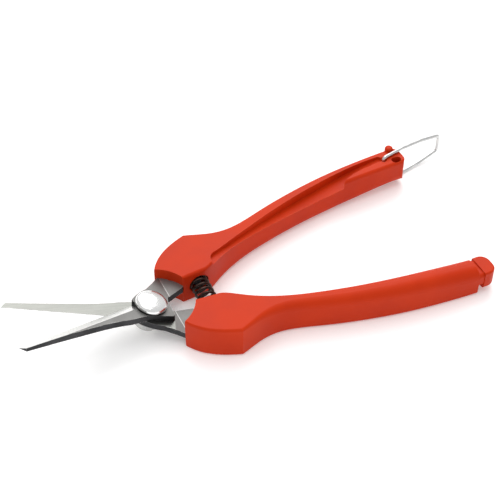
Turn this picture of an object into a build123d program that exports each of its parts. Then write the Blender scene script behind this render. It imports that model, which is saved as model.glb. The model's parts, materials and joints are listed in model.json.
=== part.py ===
"""Long-nose snips: two crossing stamped blades on a tilted pivot, moulded handles, spring and wire bail.

Working frame: X runs from the pivot towards the handle ends, Y across the opening, Z up, with z = 0 in the
handles' middle plane and the pivot on x = y = 0.  The blades lie in a plane that rises out of the handles'
plane towards the tips, so the pivot's axis leans by the same angle.  At the end everything moves so that
the origin is the bottom centre of the whole object's box.  The model is drawn open, as the spring holds it.
"""
import os
from math import cos, hypot, radians, sin

from build123d import *

# ---- blades and tangs ----
blade_reach = 57.2        # pivot to cutting tip, along the blade
tip_half_gap = 11.1       # half of the opening at the tips
edge_root = 19.4          # pivot to where the cutting edge crosses the middle line
edge_end = 7.4            # pivot to where the cutting edge ends in its relief
tip_width = 2.3           # across the blade at the tip's corner
plate_thick = 2.8
plate_gap = 0.06          # running gap between the two plates
bevel_width = 4.3         # ground bevel, from the cutting edge to the flat
edge_land = 0.12          # flat left on the cutting edge
rise_deg = 16.5           # how much the blades rise out of the handles' plane
pivot_height = 1.8        # plates' contact plane at the pivot, above the handles' middle plane
bend_x = 8.6              # where the tangs bend back into the handles' plane
tang_end = 27.6
lock_hole_r = 2.4         # tang holes that the moulding fills

# ---- pivot ----
pivot_along = -1.3        # bolt's middle, along the plates from where the handles' middle line starts
pivot_r = 4.0
pivot_clearance = 0.05
head_r = 6.3
head_rim = 0.7
dome_rise = 2.3
head_washer_r = 6.3
head_washer_thick = 0.8
head_washer_gap = 0.05
thread_r = 3.0
spring_washer_r = 5.6
spring_washer_thick = 0.6
nut_flats = 9.6
nut_height = 2.5
nut_collar = 0.9
nut_collar_r = 4.3
nut_ring_r = 3.7

# ---- handles ----
handle_half = 7.2         # half of the moulding's height
scoop_r = 17.0            # hollow in the head's front, about the pivot
face_front = 6.1          # head's inner face, from the middle line, at the front
face_rear = 6.9           # and at the rear
shoulder_x = 25.3
shoulder_y = 28.9
head_edge = 1.2
flat_skim = 0.02          # taken off both sides of the moulding, to leave true flats
handle_end = 132.0
end_round = 4.4
end_corner = 3.0          # the end's inner corner, which is sharper
end_drop = 1.8            # how much the round side sinks at the end

# ---- long recess in each handle's flat side ----
recess_start = 29.8
recess_stop = 121.0
recess_depth = 4.1        # at its deepest, halfway along
recess_shallow = 1.1      # where it starts

# ---- return spring ----
coil_r = 3.45             # to the middle of the wire
spring_wire_r = 0.55
spring_turns = 10.5
spring_gap = 0.05         # between the spring's ends and the pockets' floors
seat_depth = 5.2          # pocket in each head, from the inner face
seat_clearance = 0.35
spring_x = 22.8
tab_half = 1.7

# ---- wire bail ----
bail_wire_r = 0.75
bail_hole_clearance = 0.08
bail_mouth = 0.9          # flare of each hole's mouth, where the wire bends
bail_x = 123.0
bail_y = 34.8
bail_swing_deg = 12.0     # its direction at rest, from the X axis
bail_reach = 33.6
bail_end_half = 4.2       # half of the narrow outer end
bail_over = 8.1           # leg above the moulding
bail_under = 6.4          # leg below the moulding
bail_root_in = 3.6        # wire end inside each hole
bail_straight = 11.0      # leg's level stretch, past the moulding's end
bail_knee = 22.0          # where the legs close in faster
bail_knee_over = 6.9
bail_knee_under = 6.0
bail_bend_r = 1.6

# ---- front handle's catch ----
catch_x = 125.3
catch_groove = 2.4
neck_over = 2.9            # the neck's top, just below the tongue's
neck_under = 3.2           # the notch above this takes the latched bail
neck_inset = 0.3
tongue_inner = 30.3
tongue_outer = 40.6
tongue_tip = 132.5
tongue_over = 3.5
tongue_under = 5.0
tongue_corner = 4.0
tongue_top_edge = 0.8
tongue_low_edge = 1.6

# ---- back handle's end ----
stop_x = 128.3
stop_y = 39.4
stop_r = 1.8
stop_top = 9.0
cored_x = 128.1
cored_y = 32.5
cored_length = 4.4
cored_width = 3.3
cored_depth = 4.6


# ================= frames =================
tilt = radians(rise_deg)
blade_frame = Location((0, 0, pivot_height), (0, rise_deg, 0))
pivot_frame = blade_frame * Pos(pivot_along, 0, 0)
half_gap = plate_gap / 2


def plate_point(along, level):
    """A point of the plates' own frame, as x and z in the handles' frame."""
    return (along * cos(tilt) + level * sin(tilt), pivot_height - along * sin(tilt) + level * cos(tilt))


def level_at_bend(level):
    """Height at the bend of a plane that is `level` above the contact plane."""
    along = (bend_x - level * sin(tilt)) / cos(tilt)
    return plate_point(along, level)[1]


def flip_half(shape):
    """Turns a piece of the back half into its twin on the front half, over the X axis."""
    return Rot(180, 0, 0) * shape


def bent_slab(low, high):
    """Slab between two levels: tilted ahead of the bend, flat behind it."""
    front = -(blade_reach + 10)
    rear = tang_end + 10
    low_bend = level_at_bend(low)
    high_bend = level_at_bend(high)
    profile = Polyline(
        plate_point(front, low),
        (bend_x, low_bend),
        (rear, low_bend),
        (rear, high_bend),
        (bend_x, high_bend),
        plate_point(front, high),
        close=True,
    )
    width = 80
    return extrude(Plane.XZ * make_face(profile), width / 2, both=True)


def plan_prism(outline):
    return Pos(0, 0, -40) * extrude(make_face(outline), 80)


def blade_outline(side, inner_root, inner_front, inner_corner):
    """Plan of one plate; side is +1 where the tang is on +Y and the blade on -Y."""
    k = cos(tilt)
    tip = (-blade_reach * k, -tip_half_gap)
    slope = tip_half_gap / (blade_reach - edge_root)
    edge_stop = (-edge_end * k, (edge_root - edge_end) * slope)
    corner = (-(blade_reach - tip_width) * k, -tip_half_gap - tip_width * 0.95)
    back = [(-42 * k, -10.9), (-30 * k, -8.8), (-18 * k, -7.0)]
    lobe = [(-11.0, -6.7), (-7.6, -6.15), (-4.0, -5.8), (-0.6, -6.15), (2.6, -6.85), (5.4, -7.45)]
    lobe_corner = (6.4, -7.15)
    lobe_side = [(6.75, -6.1), (6.9, 0.5)]
    tang_outer = [(1.1, 9.2), (4.8, 12.1), (7.9, 14.8)]
    tang_back = [(12.5, 18.2), (tang_end - 2.5, 22.6)]
    tang_rear = [(tang_end, 20.4), (tang_end, seat_floor + 1.2)]
    tab_tip = seat_floor - 4.2
    tab = [
        (spring_x + tab_half, seat_floor + 1.2),
        (spring_x + tab_half, tab_tip + 0.8),
        (spring_x + tab_half - 0.8, tab_tip),
        (spring_x - tab_half + 0.8, tab_tip),
        (spring_x - tab_half, tab_tip + 0.8),
        (spring_x - tab_half, seat_floor + 1.2),
    ]
    seat_side = [(17.4, seat_floor + 1.2), inner_corner]
    flip = 1 if side > 0 else -1

    def at(points):
        return [(x, y * flip) for x, y in points]

    tip, edge_stop, corner, lobe_corner, relief = at([tip, edge_stop, corner, lobe_corner, (-6.5, 4.3)])
    lobe = at(lobe)
    lobe_side = at(lobe_side)
    curve = Line(tip, edge_stop)
    curve += Line(edge_stop, relief)
    curve += Spline(relief, at([(-3.4, 6.9)])[0], at(tang_outer)[0])
    curve += Polyline(*at(tang_outer + tang_back + tang_rear + tab + seat_side + [inner_front, inner_root]))
    curve += Polyline(at([inner_root])[0], lobe_side[1], lobe_side[0])
    curve += ThreePointArc(lobe_side[0], lobe_corner, lobe[-1])
    curve += Spline(*reversed(lobe))
    curve += Spline(lobe[0], *reversed(at(back)), corner)
    curve += Line(corner, tip)
    return curve


seat_floor = face_front + (face_rear - face_front) * 0.6 + seat_depth


def tang_holes(side):
    holes = [(13.6, 13.4), (22.4, 18.2)]
    tools = [Pos(x, y * side, 0) * Cylinder(lock_hole_r, 60) for x, y in holes]
    return tools[0] + tools[1]


def bevel_tool():
    """Block above the upper plate's ground bevel, in the plates' own frame."""
    run = blade_reach - edge_root
    length = hypot(run, tip_half_gap)
    along = Vector(run / length, tip_half_gap / length, 0)
    inward = Vector(along.Y, -along.X, 0)
    fall = (plate_thick - edge_land) / bevel_width
    normal = Vector(0, 0, 1) - inward * fall
    ground = hypot(blade_reach - edge_end, tip_half_gap * (blade_reach - edge_end) / run)
    past_tip = 8
    middle = Vector(-blade_reach, -tip_half_gap, half_gap + edge_land) + along * ((ground - past_tip) / 2)
    size = 40
    return Plane(origin=middle, x_dir=along, z_dir=normal) * Pos(0, 0, size / 2) * Box(
        ground + past_tip, size, size)


def make_plate(side, up, hole_r, inner_root, inner_front, inner_corner):
    low, high = (half_gap, half_gap + plate_thick) if up else (-half_gap - plate_thick, -half_gap)
    plate = bent_slab(low, high) & plan_prism(blade_outline(side, inner_root, inner_front, inner_corner))
    plate -= blade_frame * Rot(0 if up else 180, 0, 0) * bevel_tool()
    plate -= pivot_frame * Cylinder(hole_r, 30)
    plate -= tang_holes(side)
    return plate


def make_upper_blade():
    return make_plate(1, True, pivot_r + pivot_clearance, (7.8, 3.1), (15.2, 5.9), (17.2, 8.4))


def make_lower_blade():
    return make_plate(-1, False, pivot_r + pivot_clearance, (8.0, 1.9), (15.4, 3.6), (17.2, 5.6))


# ================= handles =================
# Stations along a handle: x, inner y, outer y, height of the round side, its corner radius, the other's.
head_stations = [
    (7.0, face_front - 0.3, 14.9, handle_half, head_edge, head_edge),
    (9.5, face_front - 0.2, 19.0, handle_half, head_edge, head_edge),
    (14.8, face_front, 23.9, handle_half, head_edge, head_edge),
    (20.0, (face_front + face_rear) / 2, 26.8, handle_half, head_edge, head_edge),
    (shoulder_x, face_rear, shoulder_y, handle_half, head_edge, head_edge),
]
grip_stations = [
    (shoulder_x, face_rear, shoulder_y, handle_half, head_edge, head_edge),
    (30.0, 9.0, 27.3, handle_half, 1.5, head_edge),
    (35.5, 12.4, 25.6, handle_half, 2.1, 1.3),
    (42.0, 15.5, 24.9, handle_half, 2.9, 1.4),
    (50.0, 18.5, 26.2, handle_half, 3.4, 1.5),
    (60.0, 21.4, 29.3, handle_half, 3.6, 1.5),
    (75.0, 24.8, 33.5, handle_half, 3.9, 1.5),
    (90.0, 27.3, 36.7, handle_half - end_drop * 0.02, 4.2, 1.5),
    (103.0, 28.8, 38.6, handle_half - end_drop * 0.18, 4.4, 1.5),
    (113.0, 29.4, 39.6, handle_half - end_drop * 0.58, 4.5, 1.5),
    (121.0, 29.8, 40.2, handle_half - end_drop * 0.94, 4.5, 1.5),
    (handle_end, 30.0, 40.6, handle_half - end_drop, 4.5, 1.5),
]


def station_face(x, y_in, y_out, round_half, r_round, r_crisp):
    """Cross-section of a handle, with the round side down and the crisp side up."""
    width = y_out - y_in
    height = handle_half + round_half
    shape = Rectangle(width, height)
    crisp = shape.vertices().group_by(Axis.Y)[-1]
    shape = fillet(crisp, r_crisp)
    lower = shape.vertices().group_by(Axis.Y)[0]
    shape = fillet(lower, r_round)
    return Plane.YZ.offset(x) * Pos((y_in + y_out) / 2, (handle_half - round_half) / 2) * shape


def loft_stations(stations):
    return loft([station_face(*s).face() for s in stations])


def end_trim(x_end, y_in, y_out, r_in, r_out):
    """What lies outside a rounded end, in plan."""
    size = 30
    keep = Pos(x_end - size / 2, (y_in + y_out) / 2) * Rectangle(size, y_out - y_in)
    corners = keep.vertices().group_by(Axis.X)[-1].sort_by(Axis.Y)
    keep = fillet(corners[0], r_in)
    keep = fillet(keep.vertices().group_by(Axis.X)[-1].sort_by(Axis.Y)[-1], r_out)
    block = Pos(x_end, (y_in + y_out) / 2) * Rectangle(2 * end_round, size)
    return Pos(0, 0, -size / 2) * extrude(block - keep, size)


def long_recess():
    """Shallow dish in the crisp side, open to the inside between the head and the end block."""
    wall = Spline(
        (recess_start + 3.4, 14.4),
        (42.0, 17.8),
        (60.0, 24.6),
        (90.0, 33.3),
        (110.0, 36.9),
        (recess_stop, 37.6),
        tangents=[(1, 0.35), (1, 0.02)],
    )
    start = (recess_start, 10.6)
    outline = wall
    outline += ThreePointArc(start, (recess_start + 1.0, 13.0), (recess_start + 3.4, 14.4))
    outline += Line(start, (recess_start, 2.0))
    outline += Line((recess_start, 2.0), (97.0, 20.0))
    outline += Spline((97.0, 20.0), (100.0, 28.5), (108.0, 32.3), (recess_stop, 34.2),
                      tangents=[(0.2, 1), (1, 0.12)])
    outline += ThreePointArc((recess_stop, 34.2), (recess_stop + 1.7, 35.9), (recess_stop, 37.6))
    floor_start = handle_half - recess_shallow
    middle_x = (recess_start + recess_stop) / 2 + 8
    profile = Line((recess_start - 5, handle_half + 2), (recess_start - 5, floor_start))
    profile += Spline((recess_start - 5, floor_start), (middle_x, handle_half - recess_depth),
                      (recess_stop + 4, floor_start), tangents=[(1, -0.06), (1, 0.12)])
    profile += Line((recess_stop + 4, floor_start), (recess_stop + 4, handle_half + 2))
    profile += Line((recess_stop + 4, handle_half + 2), (recess_start - 5, handle_half + 2))
    dish = extrude(Plane.XZ * make_face(profile), -60)
    return dish & plan_prism(outline)


def spring_axis():
    back, front = spring_ends()
    return (back - front).normalized()


def seat_pocket(end, inward):
    """Pocket for one end of the spring, along the spring's own axis."""
    length = seat_depth + 4
    plane = Plane(origin=end + inward * (length / 2), z_dir=inward)
    return plane * Cylinder(coil_r + spring_wire_r + seat_clearance, length)


def spring_ends():
    """Middles of the spring's two flat ends: each lies level with its own tang."""
    upper_mid = (level_at_bend(half_gap) + level_at_bend(half_gap + plate_thick)) / 2
    lower_mid = (level_at_bend(-half_gap) + level_at_bend(-half_gap - plate_thick)) / 2
    return Vector(spring_x, seat_floor, upper_mid), Vector(spring_x, -seat_floor, lower_mid)


def make_moulding():
    """Moulding common to both handles, drawn for the back one: crisp side up."""
    body = loft_stations(head_stations) + loft_stations(grip_stations)
    body -= Cylinder(scoop_r, 40)
    body -= long_recess()
    return body & Box(400, 200, 2 * (handle_half - flat_skim))


def bail_holes():
    """Two blind holes for the bail's ends, above and below."""
    r = bail_wire_r + bail_hole_clearance
    deeper = 0.4
    top_floor = bail_over - bail_wire_r - bail_root_in - deeper
    low_floor = bail_under - bail_wire_r - bail_root_in - deeper
    size = 12
    upper = Pos(bail_x, bail_y, top_floor + size / 2) * Cylinder(r, size)
    lower = Pos(bail_x, bail_y, -low_floor - size / 2) * Cylinder(r, size)
    mouth = r + 2 * bail_mouth
    flare = Cone(r, mouth, 2 * bail_mouth, align=(Align.CENTER, Align.CENTER, Align.MIN))
    upper += Pos(bail_x, bail_y, handle_half - bail_mouth) * flare
    lower += Pos(bail_x, bail_y, end_drop - handle_half + bail_mouth) * (Rot(180, 0, 0) * flare)
    return upper + lower


def make_back_handle(tang):
    body = make_moulding()
    body -= end_trim(handle_end, 30.0 - 0.2, 40.6, end_corner, end_round)
    stop = Pos(stop_x, stop_y, stop_top / 2) * Cylinder(stop_r, stop_top)
    stop = fillet(stop.edges().group_by(Axis.Z)[-1], stop_r * 0.6)
    body += stop
    cored = Pos(cored_x, cored_y) * Rectangle(cored_length, cored_width)
    cored = fillet(cored.vertices(), cored_width * 0.45)
    body -= Pos(0, 0, handle_half - cored_depth) * extrude(cored, 20)
    body -= bail_holes()
    back, front = spring_ends()
    body -= seat_pocket(back, spring_axis() * -1)
    body -= tang
    return body


def make_catch():
    """Neck and tongue at the front handle's end, drawn on the back side."""
    middle_y = (tongue_inner + tongue_outer) / 2
    width = tongue_outer - tongue_inner
    start = catch_x + catch_groove / 2
    plan = Pos((start + tongue_tip) / 2, middle_y) * Rectangle(tongue_tip - start, width)
    plan = fillet(plan.vertices().group_by(Axis.X)[-1], tongue_corner)
    tongue = Pos(0, 0, -tongue_over) * extrude(plan, tongue_over + tongue_under)
    low_edges = tongue.edges().group_by(Axis.Z)[-1]
    tongue = fillet([e for e in low_edges if e.center().X > start + 0.1], tongue_low_edge)
    top_edges = tongue.edges().group_by(Axis.Z)[0]
    tongue = fillet([e for e in top_edges if e.center().X > start + 0.1], tongue_top_edge)
    neck_box = Box(catch_groove + 2, width - 2 * neck_inset, neck_over + neck_under)
    neck_box = fillet(neck_box.edges().filter_by(Axis.X), 1.6)
    neck = Pos(catch_x, middle_y, (neck_under - neck_over) / 2) * neck_box
    return neck + tongue


def make_front_handle(tang):
    body = make_moulding()
    past = 20
    body -= Pos(catch_x - catch_groove / 2 + past / 2, 35, 0) * Box(past, 40, 40)
    body = flip_half(body + make_catch())
    back, front = spring_ends()
    body -= seat_pocket(front, spring_axis())
    body -= tang
    return body


# ================= spring =================
def make_spring():
    back, front = spring_ends()
    axis = spring_axis()
    length = (back - front).length - 2 * spring_gap
    pitch = length / spring_turns
    run_out = spring_wire_r * 2
    path = Helix(pitch, length + 2 * run_out, coil_r)
    start = path @ 0
    section = Plane(origin=start, z_dir=path % 0) * Circle(spring_wire_r)
    coil = sweep(section, path=path, is_frenet=True)
    coil = Pos(0, 0, -run_out) * coil
    outer = coil_r + 2 * spring_wire_r
    coil &= Pos(0, 0, length / 2) * Cylinder(outer, length)
    return Plane(origin=front + axis * spring_gap, z_dir=axis).location * coil


# ================= bail =================
def make_bail():
    """Bent wire drawn in its own upright plane and turned to its rest direction."""
    points = [
        (0, 0, bail_over - bail_wire_r - bail_root_in),
        (0, 0, bail_over),
        (bail_straight, 0, bail_over),
        (bail_knee, 0, bail_knee_over),
        (bail_reach, 0, bail_end_half),
        (bail_reach, 0, -bail_end_half),
        (bail_knee, 0, -bail_knee_under),
        (bail_straight, 0, -bail_under),
        (0, 0, -bail_under),
        (0, 0, -(bail_under - bail_wire_r - bail_root_in)),
    ]
    path = FilletPolyline(*points, radius=bail_bend_r)
    wire = sweep(Plane(origin=points[0], z_dir=(0, 0, 1)) * Circle(bail_wire_r), path=path)
    return Pos(bail_x, bail_y, 0) * Rot(0, 0, bail_swing_deg) * wire


# ================= pivot =================
upper_face = half_gap + plate_thick
lower_face = -half_gap - plate_thick
washer_low = upper_face + head_washer_gap
head_low = washer_low + head_washer_thick
nut_top = lower_face - spring_washer_thick
bolt_end = nut_top - nut_height - nut_collar + 0.4


def make_bolt():
    """Domed head, plain shank through both plates, thinner threaded end."""
    top = head_low + head_rim + dome_rise
    edge = Line((0, bolt_end), (thread_r - 0.5, bolt_end))
    edge += Line((thread_r - 0.5, bolt_end), (thread_r, bolt_end + 0.5))
    edge += Line((thread_r, bolt_end + 0.5), (thread_r, lower_face))
    edge += Line((thread_r, lower_face), (pivot_r, lower_face))
    edge += Line((pivot_r, lower_face), (pivot_r, head_low))
    edge += Line((pivot_r, head_low), (head_r, head_low))
    edge += Line((head_r, head_low), (head_r, head_low + head_rim))
    edge += Spline((head_r, head_low + head_rim), (head_r * 0.62, top - dome_rise * 0.27), (0, top),
                   tangents=[(-0.25, 1), (-1, 0)])
    edge += Line((0, top), (0, bolt_end))
    return revolve(Plane.XZ * make_face(edge), Axis.Z)


def ring(outer, inner, low, height):
    return Pos(0, 0, low + height / 2) * (Cylinder(outer, height) - Cylinder(inner, height))


def make_head_washer():
    washer = ring(head_washer_r, pivot_r + pivot_clearance, washer_low, head_washer_thick)
    return chamfer(washer.edges().group_by(Axis.Z)[-1].sort_by(SortBy.RADIUS)[-1], 0.3)


def make_spring_washer():
    return ring(spring_washer_r, thread_r + pivot_clearance, nut_top, spring_washer_thick)


def make_nut():
    low = nut_top - nut_height
    hexagon = extrude(RegularPolygon(nut_flats / 2, 6, major_radius=False), nut_height)
    dome = Cylinder(nut_flats / 2 * 1.11, nut_height, align=(Align.CENTER, Align.CENTER, Align.MIN))
    body = Pos(0, 0, low) * (hexagon & dome)
    body += ring(nut_collar_r, nut_ring_r, low - nut_collar, nut_collar)
    return body - Pos(0, 0, low) * Cylinder(thread_r, 20)


def make_nut_ring():
    return ring(nut_ring_r, thread_r, nut_top - nut_height - nut_collar, nut_collar)


# ================= assembly =================
def build_parts():
    upper = make_upper_blade()
    lower = make_lower_blade()
    parts = {
        "upper_blade": upper,
        "lower_blade": lower,
        "back_handle": make_back_handle(upper),
        "front_handle": make_front_handle(lower),
        "return_spring": make_spring(),
        "wire_bail": make_bail(),
    }
    hardware = {
        "pivot_bolt": make_bolt(),
        "head_washer": make_head_washer(),
        "spring_washer": make_spring_washer(),
        "lock_nut": make_nut(),
        "nut_locking_ring": make_nut_ring(),
    }
    for name, piece in hardware.items():
        parts[name] = pivot_frame * piece
    return parts


def origin_shift(parts):
    """Brings the bottom centre of the whole object's box to the origin."""
    box = Compound(list(parts.values())).bounding_box()
    return Vector(-(box.min.X + box.max.X) / 2, -(box.min.Y + box.max.Y) / 2, -box.min.Z)


def main():
    parts = build_parts()
    shift = origin_shift(parts)
    os.makedirs("parts", exist_ok=True)
    for name, piece in parts.items():
        solids = piece.solids()
        whole = solids[0] if len(solids) == 1 else Compound(solids)
        export_step(Pos(shift) * whole, f"parts/{name}.step")
        print(f"{name}: {len(solids)} solid, {whole.volume:.1f} mm3")
    back, front = spring_ends()
    print("origin shift", [round(v, 3) for v in shift])
    print("pivot point", [round(v, 3) for v in pivot_frame.position + shift])
    print("pivot axis", [round(sin(tilt), 5), 0, round(cos(tilt), 5)])
    print("bail pivot", [round(v, 3) for v in Vector(bail_x, bail_y, 0) + shift])
    print("spring ends", [round(v, 3) for v in back + shift], [round(v, 3) for v in front + shift])


main()
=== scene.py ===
import json

import bpy
from mathutils import Matrix, Vector


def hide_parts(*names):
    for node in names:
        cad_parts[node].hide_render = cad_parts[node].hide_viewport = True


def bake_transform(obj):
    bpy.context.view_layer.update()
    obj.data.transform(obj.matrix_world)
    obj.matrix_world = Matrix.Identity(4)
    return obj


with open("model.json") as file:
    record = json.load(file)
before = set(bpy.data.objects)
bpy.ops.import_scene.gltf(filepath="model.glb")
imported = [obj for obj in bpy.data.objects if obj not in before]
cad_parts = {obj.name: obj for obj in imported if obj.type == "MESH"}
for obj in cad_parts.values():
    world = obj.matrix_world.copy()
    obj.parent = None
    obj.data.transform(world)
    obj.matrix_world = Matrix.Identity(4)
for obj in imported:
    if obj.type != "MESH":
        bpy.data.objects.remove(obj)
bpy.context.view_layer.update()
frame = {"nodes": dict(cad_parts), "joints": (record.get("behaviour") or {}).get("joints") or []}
nodes = frame["nodes"]
joints = {j["name"]: j for j in frame["joints"]}
scene = bpy.context.scene

pivotPoint = Vector(joints["grip_close"]["pos_m"])
plateNormal = -Vector(joints["grip_close"]["axis"])  # out of the blades' upper faces

# camera
cameraLook = {  # places are measured from the pivot
    "position": (-0.09765, -0.2946, 0.33203),
    "target": (0.05059, 0.01551, -0.00217),
    "lens": 84.2,
    "sensor": 36.0,
}


def makeCamera(look):
    data = bpy.data.cameras.new("camera")
    data.lens = look["lens"]
    data.sensor_width = look["sensor"]
    data.clip_start = 0.01
    data.clip_end = 10
    camera = bpy.data.objects.new("camera", data)
    scene.collection.objects.link(camera)
    camera.location = pivotPoint + Vector(look["position"])
    aim = Vector(look["target"]) - Vector(look["position"])
    camera.rotation_mode = "QUATERNION"
    camera.rotation_quaternion = aim.to_track_quat("-Z", "Y")
    scene.camera = camera


makeCamera(cameraLook)
print("camera made")

# floor and light
studio = {
    "floorHalf": 3.0,
    "floorShade": 0.94,
    "floorGlow": 0.18,
    "sky": 0.70,
    "lights": [  # name, place, size, power, warmth
        ("overhead", (-0.1, 0.1, 1.3), 1.2, 5.0, (1.0, 1.0, 1.0)),
        ("backSoftbox", (0.45, 0.95, 1.0), 1.3, 12.0, (1.0, 0.99, 0.98)),
    ],
}


def makeStudio(values):
    half = values["floorHalf"]
    mesh = bpy.data.meshes.new("floor")
    corners = [(-half, -half, 0), (half, -half, 0), (half, half, 0), (-half, half, 0)]
    mesh.from_pydata(corners, [], [(0, 1, 2, 3)])
    floor = bpy.data.objects.new("floor", mesh)
    scene.collection.objects.link(floor)
    paint = bpy.data.materials.new("floorPaint")
    paint.use_nodes = True
    shader = paint.node_tree.nodes["Principled BSDF"]
    shade = values["floorShade"]
    shader.inputs["Base Color"].default_value = (shade, shade, shade, 1)
    shader.inputs["Roughness"].default_value = 0.9
    shader.inputs["Specular IOR Level"].default_value = 0.1
    shader.inputs["Emission Color"].default_value = (1, 1, 1, 1)
    shader.inputs["Emission Strength"].default_value = values["floorGlow"]
    mesh.materials.append(paint)
    world = bpy.data.worlds.new("studioSky")
    world.use_nodes = True
    world.node_tree.nodes["Background"].inputs["Color"].default_value = (1, 1, 1, 1)
    world.node_tree.nodes["Background"].inputs["Strength"].default_value = values["sky"]
    scene.world = world
    for name, place, size, power, tint in values["lights"]:
        data = bpy.data.lights.new(name, "AREA")
        data.shape = "DISK"
        data.size = size
        data.energy = power
        data.color = tint
        light = bpy.data.objects.new(name, data)
        scene.collection.objects.link(light)
        light.location = place
        light.rotation_mode = "QUATERNION"
        light.rotation_quaternion = (Vector((0, 0, 0)) - Vector(place)).to_track_quat("-Z", "Y")
    scene.view_settings.view_transform = "Standard"


makeStudio(studio)
print("studio made")


# node helpers
def addNode(tree, kind, values=None, **settings):
    node = tree.nodes.new(kind)
    for name, value in settings.items():
        setattr(node, name, value)
    for name, value in (values or {}).items():
        if isinstance(value, bpy.types.NodeSocket):
            tree.links.new(value, node.inputs[name])
        else:
            node.inputs[name].default_value = value
    return node


def calc(tree, operation, first, second=0.0, third=None, clamp=False):
    node = addNode(tree, "ShaderNodeMath", {0: first, 1: second}, operation=operation, use_clamp=clamp)
    if third is not None:
        if isinstance(third, bpy.types.NodeSocket):
            tree.links.new(third, node.inputs[2])
        else:
            node.inputs[2].default_value = third
    return node.outputs[0]


def rampUp(tree, value, low, high, bottom=0.0, top=1.0):
    node = addNode(tree, "ShaderNodeMapRange", {"Value": value, "From Min": low, "From Max": high,
                                                "To Min": bottom, "To Max": top})
    node.interpolation_type = "SMOOTHSTEP"
    return node.outputs[0]


def mixColour(tree, share, first, second, blend="MIX"):
    node = addNode(tree, "ShaderNodeMix", data_type="RGBA", blend_type=blend)
    for place, value in ((0, share), (6, first), (7, second)):
        if isinstance(value, bpy.types.NodeSocket):
            tree.links.new(value, node.inputs[place])
        else:
            node.inputs[place].default_value = value if place == 0 or len(value) == 4 else (*value, 1)
    return node.outputs[2]


def newGroup(name, inputs, outputs):
    group = bpy.data.node_groups.new(name, "ShaderNodeTree")
    for label, kind, start in inputs:
        socket = group.interface.new_socket(label, in_out="INPUT", socket_type=kind)
        if start is not None:
            socket.default_value = start
    for label, kind in outputs:
        group.interface.new_socket(label, in_out="OUTPUT", socket_type=kind)
    return group, group.nodes.new("NodeGroupInput").outputs, group.nodes.new("NodeGroupOutput")


def useGroup(tree, group, values):
    node = addNode(tree, "ShaderNodeGroup", node_tree=group)
    for name, value in values.items():
        if isinstance(value, bpy.types.NodeSocket):
            tree.links.new(value, node.inputs[name])
        else:
            node.inputs[name].default_value = value
    return node.outputs


def makeEdgeWear():  # 1 along outer edges that hands and tools rub, broken up by noise
    group, given, result = newGroup(
        "edgeWear",
        [("Radius", "NodeSocketFloat", 0.0005), ("Amount", "NodeSocketFloat", 1.0),
         ("Breakup", "NodeSocketFloat", 400.0)],
        [("Mask", "NodeSocketFloat")])
    rounded = addNode(group, "ShaderNodeBevel", {"Radius": given["Radius"]}, samples=6)
    flat = addNode(group, "ShaderNodeNewGeometry")
    match = addNode(group, "ShaderNodeVectorMath", {0: rounded.outputs[0], 1: flat.outputs["True Normal"]},
                    operation="DOT_PRODUCT")
    rim = rampUp(group, match.outputs["Value"], 0.995, 0.80)
    place = addNode(group, "ShaderNodeTexCoord").outputs["Object"]
    noise = addNode(group, "ShaderNodeTexNoise", {"Vector": place, "Scale": given["Breakup"], "Detail": 3.0})
    spots = rampUp(group, noise.outputs["Fac"], 0.36, 0.62)
    mask = calc(group, "MULTIPLY", rim, spots)
    mask = calc(group, "MULTIPLY", mask, given["Amount"], clamp=True)
    group.links.new(mask, result.inputs["Mask"])
    return group


def makeMottle():  # slow and fine unevenness of a surface, each from 0 to 1
    group, given, result = newGroup(
        "mottle",
        [("Slow", "NodeSocketFloat", 60.0), ("Fine", "NodeSocketFloat", 2500.0)],
        [("Slow", "NodeSocketFloat"), ("Fine", "NodeSocketFloat")])
    place = addNode(group, "ShaderNodeTexCoord").outputs["Object"]
    slow = addNode(group, "ShaderNodeTexNoise", {"Vector": place, "Scale": given["Slow"], "Detail": 4.0})
    fine = addNode(group, "ShaderNodeTexNoise", {"Vector": place, "Scale": given["Fine"], "Detail": 2.0})
    group.links.new(rampUp(group, slow.outputs["Fac"], 0.3, 0.7), result.inputs["Slow"])
    group.links.new(fine.outputs["Fac"], result.inputs["Fine"])
    return group


def makeGrindLines():  # fine parallel scratches across a stated direction
    group, given, result = newGroup(
        "grindLines",
        [("Along", "NodeSocketVector", None), ("Stretch", "NodeSocketFloat", 12.0),
         ("Scale", "NodeSocketFloat", 900.0)],
        [("Lines", "NodeSocketFloat")])
    place = addNode(group, "ShaderNodeTexCoord").outputs["Object"]
    far = addNode(group, "ShaderNodeVectorMath", {0: place, 1: given["Along"]},
                  operation="DOT_PRODUCT").outputs["Value"]
    squeeze = calc(group, "SUBTRACT", calc(group, "DIVIDE", 1.0, given["Stretch"]), 1.0)
    shift = addNode(group, "ShaderNodeVectorMath", {0: given["Along"]}, operation="SCALE")
    group.links.new(calc(group, "MULTIPLY", far, squeeze), shift.inputs["Scale"])
    pressed = addNode(group, "ShaderNodeVectorMath", {0: place, 1: shift.outputs[0]}, operation="ADD").outputs[0]
    noise = addNode(group, "ShaderNodeTexNoise", {"Vector": pressed, "Scale": given["Scale"], "Detail": 5.0,
                                                  "Roughness": 0.7})
    group.links.new(noise.outputs["Fac"], result.inputs["Lines"])
    return group


edgeWear = makeEdgeWear()
mottle = makeMottle()
grindLines = makeGrindLines()


def newMaterial(name):
    material = bpy.data.materials.new(name)
    material.use_nodes = True
    tree = material.node_tree
    return material, tree, tree.nodes["Principled BSDF"]


def setBump(tree, shader, height, distance, strength):
    bump = addNode(tree, "ShaderNodeBump", {"Height": height, "Distance": distance, "Strength": strength})
    tree.links.new(bump.outputs[0], shader.inputs["Normal"])


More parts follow.
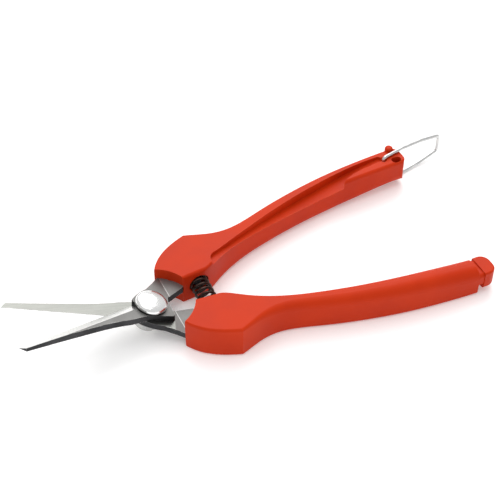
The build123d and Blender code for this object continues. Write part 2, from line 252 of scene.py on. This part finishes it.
# moulded handles
handleMoulding = {
    "base": (0.57, 0.034, 0.003),
    "deep": (0.51, 0.028, 0.0025),
    "worn": (0.72, 0.09, 0.03),
    "roughLow": 0.36,
    "roughHigh": 0.50,
    "grainScale": 2600.0,
    "grainDepth": 0.00004,
    "grainStrength": 0.35,
    "slowScale": 55.0,
    "wornRadius": 0.0006,
    "wornAmount": 0.45,
    "wornBreakup": 220.0,
    "specular": 0.12,
}


def makeHandleMaterial(look):
    material, tree, shader = newMaterial("orangeRedMoulding")
    uneven = useGroup(tree, mottle, {"Slow": look["slowScale"], "Fine": look["grainScale"]})
    worn = useGroup(tree, edgeWear, {"Radius": look["wornRadius"], "Amount": look["wornAmount"],
                                     "Breakup": look["wornBreakup"]})["Mask"]
    colour = mixColour(tree, uneven["Slow"], look["deep"], look["base"])
    colour = mixColour(tree, worn, colour, look["worn"])
    tree.links.new(colour, shader.inputs["Base Color"])
    rough = calc(tree, "MULTIPLY_ADD", uneven["Fine"], 0.16, look["roughLow"] - 0.04)
    rough = calc(tree, "MULTIPLY_ADD", uneven["Slow"], look["roughHigh"] - look["roughLow"] - 0.06, rough)
    tree.links.new(calc(tree, "SUBTRACT", rough, calc(tree, "MULTIPLY", worn, 0.1)), shader.inputs["Roughness"])
    shader.inputs["Specular IOR Level"].default_value = look["specular"]
    setBump(tree, shader, uneven["Fine"], look["grainDepth"], look["grainStrength"])
    return material


# blades
bladeFinish = {
    "blasted": (0.25, 0.248, 0.242),
    "ground": (0.235, 0.24, 0.225),
    "bevel": (0.86, 0.86, 0.84),
    # near-black painted shade for the blades' side faces, which face away from the light
    "stamped": (0.035, 0.035, 0.037),
    "bendAhead": 0.00985,              # from the pivot to where the tangs turn level
    "groundLimit": (0.00955, -0.0020),  # from the pivot to the line where the contact face's grinding stops
    "groundAcross": (0.943, -0.332),    # across that line, towards the tang
    "blend": 0.0002,                    # half the width over which one finish turns into another
    "shadeShare": 0.86,                 # how dark the darkest part of a finish is
    "roughness": 0.24,
    "blastedRougher": 0.34,
    "groundSmoother": -0.28,
    "stampedRougher": 0.14,
    "lineDepth": 0.00003,
    "wornRadius": 0.00025,
}


def makeBladeMaterial(name, look, contactUp):  # contactUp: 1 when the ground contact face looks up
    material, tree, shader = newMaterial(name)
    coords = addNode(tree, "ShaderNodeTexCoord")
    place, facing = coords.outputs["Object"], coords.outputs["Normal"]
    split = addNode(tree, "ShaderNodeSeparateXYZ", {0: place}).outputs
    up = addNode(tree, "ShaderNodeVectorMath", {0: facing, 1: tuple(plateNormal)},
                 operation="DOT_PRODUCT").outputs["Value"]
    level = addNode(tree, "ShaderNodeSeparateXYZ", {0: facing}).outputs["Z"]
    bendX = pivotPoint.x + look["bendAhead"]
    behind = rampUp(tree, split["X"], bendX - 2 * look["blend"], bendX + 2 * look["blend"])
    ways = look["groundAcross"]
    limit = (pivotPoint.x + look["groundLimit"][0], pivotPoint.y + look["groundLimit"][1])
    offset = calc(tree, "MULTIPLY_ADD", split["X"], ways[0], -limit[0] * ways[0] - limit[1] * ways[1])
    offset = calc(tree, "MULTIPLY_ADD", split["Y"], ways[1], offset)
    ahead = rampUp(tree, offset, look["blend"], -look["blend"])
    flatBlade = rampUp(tree, calc(tree, "ABSOLUTE", up), 0.965, 0.985)
    flatTang = calc(tree, "MULTIPLY", rampUp(tree, calc(tree, "ABSOLUTE", level), 0.965, 0.985), behind)
    flat = calc(tree, "MAXIMUM", flatBlade, flatTang)
    # side faces, picked by which way they face: these get the near-black painted side shade
    side = rampUp(tree, calc(tree, "ABSOLUTE", up), 0.62, 0.50)
    contact = calc(tree, "MULTIPLY", rampUp(tree, up, 0.96, 0.98), calc(tree, "MULTIPLY", ahead, contactUp))
    uneven = useGroup(tree, mottle, {"Slow": 120.0, "Fine": 1800.0})
    bladeLine = (Vector((0, 1, 0)).cross(plateNormal)).normalized()
    across = useGroup(tree, grindLines, {"Along": (0, 1, 0), "Stretch": 14.0, "Scale": 1500.0})["Lines"]
    lengthwise = useGroup(tree, grindLines, {"Along": tuple(bladeLine), "Stretch": 18.0,
                                             "Scale": 1700.0})["Lines"]
    shade = look["shadeShare"]
    blasted = mixColour(tree, uneven["Slow"], tuple(c * shade for c in look["blasted"]), look["blasted"])
    ground = mixColour(tree, rampUp(tree, lengthwise, 0.3, 0.7), tuple(c * shade for c in look["ground"]),
                       look["ground"])
    bevel = mixColour(tree, rampUp(tree, across, 0.3, 0.7), tuple(c * 0.88 for c in look["bevel"]),
                      look["bevel"])
    # painted shade: side faces made near-black, with slight unevenness
    stamped = mixColour(tree, uneven["Slow"], look["stamped"], tuple(c * 1.7 for c in look["stamped"]))
    colour = mixColour(tree, flat, bevel, blasted)
    colour = mixColour(tree, contact, colour, ground)
    colour = mixColour(tree, side, colour, stamped)
    worn = useGroup(tree, edgeWear, {"Radius": look["wornRadius"], "Amount": 0.6, "Breakup": 500.0})["Mask"]
    colour = mixColour(tree, worn, colour, look["bevel"])
    tree.links.new(colour, shader.inputs["Base Color"])
    rough = calc(tree, "MULTIPLY_ADD", flat, look["blastedRougher"], look["roughness"])
    rough = calc(tree, "MULTIPLY_ADD", contact, look["groundSmoother"], rough)
    rough = calc(tree, "MULTIPLY_ADD", side, look["stampedRougher"], rough)
    rough = calc(tree, "MULTIPLY_ADD", uneven["Fine"], 0.1, rough)
    tree.links.new(rough, shader.inputs["Roughness"])
    shader.inputs["Metallic"].default_value = 1.0
    lines = calc(tree, "MULTIPLY", calc(tree, "SUBTRACT", 1.0, flat), across)
    lines = calc(tree, "ADD", lines, calc(tree, "MULTIPLY", contact, lengthwise))
    height = calc(tree, "MULTIPLY_ADD", calc(tree, "MULTIPLY", flat, uneven["Fine"]), 0.6, lines)
    setBump(tree, shader, height, look["lineDepth"], 0.3)
    return material


# bolt, washers, nut
def makeMetal(name, look):
    material, tree, shader = newMaterial(name)
    uneven = useGroup(tree, mottle, {"Slow": look["slow"], "Fine": look["fine"]})
    worn = useGroup(tree, edgeWear, {"Radius": look["wornRadius"], "Amount": look["wear"],
                                     "Breakup": 500.0})["Mask"]
    colour = mixColour(tree, uneven["Slow"], look["shade"], look["base"])
    colour = mixColour(tree, worn, colour, look["worn"])
    tree.links.new(colour, shader.inputs["Base Color"])
    rough = calc(tree, "MULTIPLY_ADD", uneven["Fine"], look["roughSpread"], look["rough"])
    tree.links.new(rough, shader.inputs["Roughness"])
    shader.inputs["Metallic"].default_value = look["metallic"]
    setBump(tree, shader, uneven["Fine"], look["grain"], 0.3)
    return material


polishedBolt = {"base": (0.93, 0.93, 0.92), "shade": (0.88, 0.88, 0.88), "worn": (0.95, 0.95, 0.95), "rough": 0.18,
                "roughSpread": 0.10, "metallic": 1.0, "slow": 220.0, "fine": 3000.0, "grain": 0.000006,
                "wornRadius": 0.0003, "wear": 0.3}
# near-black washer steel; on the head washer its rim is also painted shade for the shadowed gap under the bolt head
blackSteelAndGapShade = {"base": (0.035, 0.034, 0.034), "shade": (0.02, 0.02, 0.021), "worn": (0.30, 0.30, 0.29), "rough": 0.30,
              "roughSpread": 0.2, "metallic": 1.0, "slow": 300.0, "fine": 2600.0, "grain": 0.00002,
              "wornRadius": 0.00025, "wear": 0.5}
platedNut = {"base": (0.58, 0.58, 0.56), "shade": (0.46, 0.46, 0.46), "worn": (0.78, 0.78, 0.76), "rough": 0.28,
             "roughSpread": 0.15, "metallic": 1.0, "slow": 300.0, "fine": 2400.0, "grain": 0.00002,
             "wornRadius": 0.00025, "wear": 0.5}
naturalNylon = {"base": (0.72, 0.71, 0.66), "shade": (0.64, 0.63, 0.58), "worn": (0.80, 0.80, 0.77), "rough": 0.42,
                "roughSpread": 0.15, "metallic": 0.0, "slow": 400.0, "fine": 3000.0, "grain": 0.00002,
                "wornRadius": 0.0002, "wear": 0.3}
springSteel = {"base": (0.075, 0.052, 0.045), "shade": (0.035, 0.022, 0.018), "worn": (0.25, 0.2, 0.18), "rough": 0.26,
               "roughSpread": 0.2, "metallic": 1.0, "slow": 500.0, "fine": 3500.0, "grain": 0.00001,
               "wornRadius": 0.0001, "wear": 0.2}
drawnWire = {"base": (0.66, 0.66, 0.65), "shade": (0.54, 0.54, 0.54), "worn": (0.8, 0.8, 0.8), "rough": 0.22,
             "roughSpread": 0.15, "metallic": 1.0, "slow": 350.0, "fine": 3000.0, "grain": 0.00001,
             "wornRadius": 0.0001, "wear": 0.2}

handleMaterial = makeHandleMaterial(handleMoulding)
finishes = {
    "back_handle": handleMaterial,
    "front_handle": handleMaterial,
    "upper_blade": makeBladeMaterial("upperBladeSteel", bladeFinish, 0.0),
    "lower_blade": makeBladeMaterial("lowerBladeSteel", bladeFinish, 1.0),
    "pivot_bolt": makeMetal("polishedBolt", polishedBolt),
    "head_washer": makeMetal("blackSteelAndGapShade", blackSteelAndGapShade),
    "lock_nut": makeMetal("platedNut", platedNut),
    "nut_locking_ring": makeMetal("naturalNylon", naturalNylon),
    "wire_bail": makeMetal("drawnWire", drawnWire),
}
finishes["spring_washer"] = finishes["head_washer"]
springMaterial = makeMetal("springSteel", springSteel)
for name, material in finishes.items():
    for slot in nodes[name].material_slots:
        slot.material = material
print("materials made")

# return spring
springBuild = {
    "backEnd": (0.024046, 0.01178, -0.001425),   # the spring's seat in the back head, from the pivot
    "frontEnd": (0.024046, -0.01178, -0.004408),
    "coilRadius": 0.00345,
    "wireRadius": 0.00055,
    "endGap": 0.0001,
    "turns": 10.5,
    "closedTurns": 1.0,
    "pointsPerTurn": 40,
    "wireSides": 14,
}


def makeSpringTree(material):
    tree = bpy.data.node_groups.new("coiledSpring", "GeometryNodeTree")
    tree.interface.new_socket("Geometry", in_out="OUTPUT", socket_type="NodeSocketGeometry")
    for label, kind, start in (
            ("Length", "NodeSocketFloat", 0.02), ("Coil Radius", "NodeSocketFloat", 0.003),
            ("Wire Radius", "NodeSocketFloat", 0.0005), ("Turns", "NodeSocketFloat", 10.0),
            ("Closed Turns", "NodeSocketFloat", 1.0), ("Points Per Turn", "NodeSocketInt", 40),
            ("Wire Sides", "NodeSocketInt", 14)):
        socket = tree.interface.new_socket(label, in_out="INPUT", socket_type=kind)
        socket.default_value = start
    given = tree.nodes.new("NodeGroupInput").outputs
    result = tree.nodes.new("NodeGroupOutput")
    spiral = addNode(tree, "GeometryNodeCurveSpiral", {
        "Resolution": given["Points Per Turn"], "Rotations": given["Turns"], "Height": given["Length"],
        "Start Radius": given["Coil Radius"], "End Radius": given["Coil Radius"]})
    factor = addNode(tree, "GeometryNodeSplineParameter").outputs["Factor"]
    turn = calc(tree, "MULTIPLY", factor, given["Turns"])
    wire = calc(tree, "MULTIPLY", given["Wire Radius"], 2.04)  # rise of a closed turn, just clear of the next
    closed = given["Closed Turns"]
    openTurns = calc(tree, "SUBTRACT", given["Turns"], calc(tree, "MULTIPLY", closed, 2.0))
    taken = calc(tree, "MULTIPLY", wire, calc(tree, "MULTIPLY_ADD", closed, 2.0, 1.0))
    room = calc(tree, "SUBTRACT", given["Length"], taken)
    pitch = calc(tree, "DIVIDE", room, openTurns)
    first = calc(tree, "MULTIPLY", calc(tree, "MINIMUM", turn, closed), wire)
    past = calc(tree, "MAXIMUM", calc(tree, "SUBTRACT", turn, closed), 0.0)
    middle = calc(tree, "MULTIPLY", calc(tree, "MINIMUM", past, openTurns), pitch)
    last = calc(tree, "MULTIPLY", calc(tree, "MAXIMUM", calc(tree, "SUBTRACT", past, openTurns), 0.0), wire)
    height = calc(tree, "ADD", calc(tree, "ADD", first, middle), calc(tree, "ADD", last, given["Wire Radius"]))
    position = addNode(tree, "GeometryNodeInputPosition").outputs[0]
    where = addNode(tree, "ShaderNodeSeparateXYZ", {0: position}).outputs
    placed = addNode(tree, "ShaderNodeCombineXYZ", {"X": where["X"], "Y": where["Y"], "Z": height})
    moved = addNode(tree, "GeometryNodeSetPosition", {"Geometry": spiral.outputs[0], "Position": placed.outputs[0]})
    ring = addNode(tree, "GeometryNodeCurvePrimitiveCircle",
                   {"Resolution": given["Wire Sides"], "Radius": given["Wire Radius"]})
    tube = addNode(tree, "GeometryNodeCurveToMesh",
                   {"Curve": moved.outputs[0], "Profile Curve": ring.outputs[0], "Fill Caps": True})
    smooth = addNode(tree, "GeometryNodeSetShadeSmooth", {"Geometry": tube.outputs[0], "Shade Smooth": True})
    real = addNode(tree, "GeometryNodeRealizeInstances", {"Geometry": smooth.outputs[0]})
    painted = addNode(tree, "GeometryNodeSetMaterial", {"Geometry": real.outputs[0], "Material": material})
    tree.links.new(painted.outputs[0], result.inputs[0])
    return tree


def meshFromNodes(name, tree, values, place):
    holder = bpy.data.objects.new(name + "Maker", bpy.data.meshes.new(name + "Empty"))
    scene.collection.objects.link(holder)
    modifier = holder.modifiers.new("build", "NODES")
    modifier.node_group = tree
    for item in tree.interface.items_tree:
        if item.in_out == "INPUT" and item.name in values:
            modifier[item.identifier] = values[item.name]
    bpy.context.view_layer.update()
    mesh = bpy.data.meshes.new_from_object(holder.evaluated_get(bpy.context.evaluated_depsgraph_get()))
    bpy.data.objects.remove(holder)
    mesh.name = name
    mesh.transform(place)
    piece = bpy.data.objects.new(name, mesh)
    scene.collection.objects.link(piece)
    return piece


def makeSpring(build):
    back, front = pivotPoint + Vector(build["backEnd"]), pivotPoint + Vector(build["frontEnd"])
    along = back - front
    place = Matrix.Translation(front) @ along.to_track_quat("Z", "X").to_matrix().to_4x4()
    values = {"Length": along.length - build["endGap"], "Coil Radius": build["coilRadius"],
              "Wire Radius": build["wireRadius"], "Turns": build["turns"], "Closed Turns": build["closedTurns"],
              "Points Per Turn": build["pointsPerTurn"], "Wire Sides": build["wireSides"]}
    spring = meshFromNodes("coiled_spring", makeSpringTree(springMaterial), values, place)
    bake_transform(spring)
    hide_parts("return_spring")


makeSpring(springBuild)
print("spring made")
